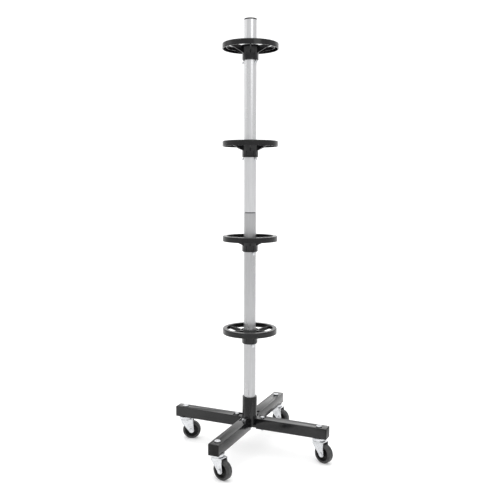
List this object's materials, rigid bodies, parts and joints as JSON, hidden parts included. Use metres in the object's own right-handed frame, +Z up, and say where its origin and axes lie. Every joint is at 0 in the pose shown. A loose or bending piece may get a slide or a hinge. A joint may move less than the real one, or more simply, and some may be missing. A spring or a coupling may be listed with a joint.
{
  "type": "wheel storage stand",
  "caption": "Rolling tiered stand for storing wheels: a round pole with sliding moulded discs on a cross base with swivel casters.",
  "frame": {"origin": "on the floor under the pole axis", "axes": "+Z up along the pole; legs along +X, +Y, -X and -Y"},
  "size_m": [0.571, 0.55, 1.416],
  "materials": {
    "frame_paint": "black satin powder coat",
    "pole_silver": "satin silver",
    "sleeve_steel": "plain",
    "zinc": "bright zinc plate",
    "caster_zinc": "bright zinc plate",
    "ball_steel": "polished",
    "black_plastic": "moulded",
    "disc_plastic": "semi-gloss moulded",
    "wheel_plastic": "moulded",
    "tyre_rubber": "smooth rubber"
  },
  "bodies": {
    "stand": {"base_hub": "frame_paint", "leg_left": "frame_paint", "leg_front": "frame_paint", "leg_right": "frame_paint", "leg_back": "frame_paint", "leg_end_plugs": "black_plastic", "leg_bolts": "zinc", "leg_nuts": "zinc", "pole_lower": "pole_silver", "pole_upper": "pole_silver", "pole_sleeve": "sleeve_steel", "pole_cap": "black_plastic", "disc_bolts": "zinc", "disc_nuts": "zinc", "caster_bolts": "zinc", "caster_nuts": "zinc", "swivel_cups": "caster_zinc", "kingpins": "caster_zinc"},
    "tier_1": {"disc_1": "disc_plastic"},
    "tier_2": {"disc_2": "disc_plastic"},
    "tier_3": {"disc_3": "disc_plastic"},
    "tier_4": {"disc_4": "disc_plastic"},
    "swivel_left": {"fork_left": "caster_zinc", "balls_left": "ball_steel", "axle_bolt_left": "zinc", "axle_nut_left": "zinc"},
    "wheel_left": {"wheel_core_left": "wheel_plastic", "wheel_bush_left": "sleeve_steel", "tyre_left": "tyre_rubber"},
    "swivel_front": {"fork_front": "caster_zinc", "balls_front": "ball_steel", "axle_bolt_front": "zinc", "axle_nut_front": "zinc"},
    "wheel_front": {"wheel_core_front": "wheel_plastic", "wheel_bush_front": "sleeve_steel", "tyre_front": "tyre_rubber"},
    "swivel_right": {"fork_right": "caster_zinc", "balls_right": "ball_steel", "axle_bolt_right": "zinc", "axle_nut_right": "zinc"},
    "wheel_right": {"wheel_core_right": "wheel_plastic", "wheel_bush_right": "sleeve_steel", "tyre_right": "tyre_rubber"},
    "swivel_back": {"fork_back": "caster_zinc", "balls_back": "ball_steel", "axle_bolt_back": "zinc", "axle_nut_back": "zinc"},
    "wheel_back": {"wheel_core_back": "wheel_plastic", "wheel_bush_back": "sleeve_steel", "tyre_back": "tyre_rubber"}
  },
  "joints": [
    {"name": "disc_lift_1", "type": "slide", "parent": "stand", "child": "tier_1", "axis": [0, 0, 1], "range_m": [0, 0.24]},
    {"name": "disc_lift_2", "type": "slide", "parent": "stand", "child": "tier_2", "axis": [0, 0, 1], "range_m": [0, 0.24]},
    {"name": "disc_lift_3", "type": "slide", "parent": "stand", "child": "tier_3", "axis": [0, 0, 1], "range_m": [0, 0.24]},
    {"name": "disc_lift_4", "type": "slide", "parent": "stand", "child": "tier_4", "axis": [0, 0, 1], "range_m": [0, 0.1]},
    {"name": "caster_swivel_left", "type": "hinge", "parent": "stand", "child": "swivel_left", "pos_m": [-0.245, 0, 0.07], "axis": [0, 0, 1], "continuous": true},
    {"name": "wheel_roll_left", "type": "hinge", "parent": "swivel_left", "child": "wheel_left", "pos_m": [-0.22539, 0.00753, 0.031], "axis": [-0.3584, 0.9336, 0], "continuous": true},
    {"name": "caster_swivel_front", "type": "hinge", "parent": "stand", "child": "swivel_front", "pos_m": [0, -0.245, 0.07], "axis": [0, 0, 1], "continuous": true},
    {"name": "wheel_roll_front", "type": "hinge", "parent": "swivel_front", "child": "wheel_front", "pos_m": [0.02028, -0.25044, 0.031], "axis": [0.2588, 0.9659, 0], "continuous": true},
    {"name": "caster_swivel_right", "type": "hinge", "parent": "stand", "child": "swivel_right", "pos_m": [0.245, 0, 0.07], "axis": [0, 0, 1], "continuous": true},
    {"name": "wheel_roll_right", "type": "hinge", "parent": "swivel_right", "child": "wheel_right", "pos_m": [0.26461, -0.00753, 0.031], "axis": [0.3584, 0.9336, 0], "continuous": true},
    {"name": "caster_swivel_back", "type": "hinge", "parent": "stand", "child": "swivel_back", "pos_m": [0, 0.245, 0.07], "axis": [0, 0, 1], "continuous": true},
    {"name": "wheel_roll_back", "type": "hinge", "parent": "swivel_back", "child": "wheel_back", "pos_m": [0.02088, 0.2428, 0.031], "axis": [0.1045, 0.9945, 0], "continuous": true}
  ]
}
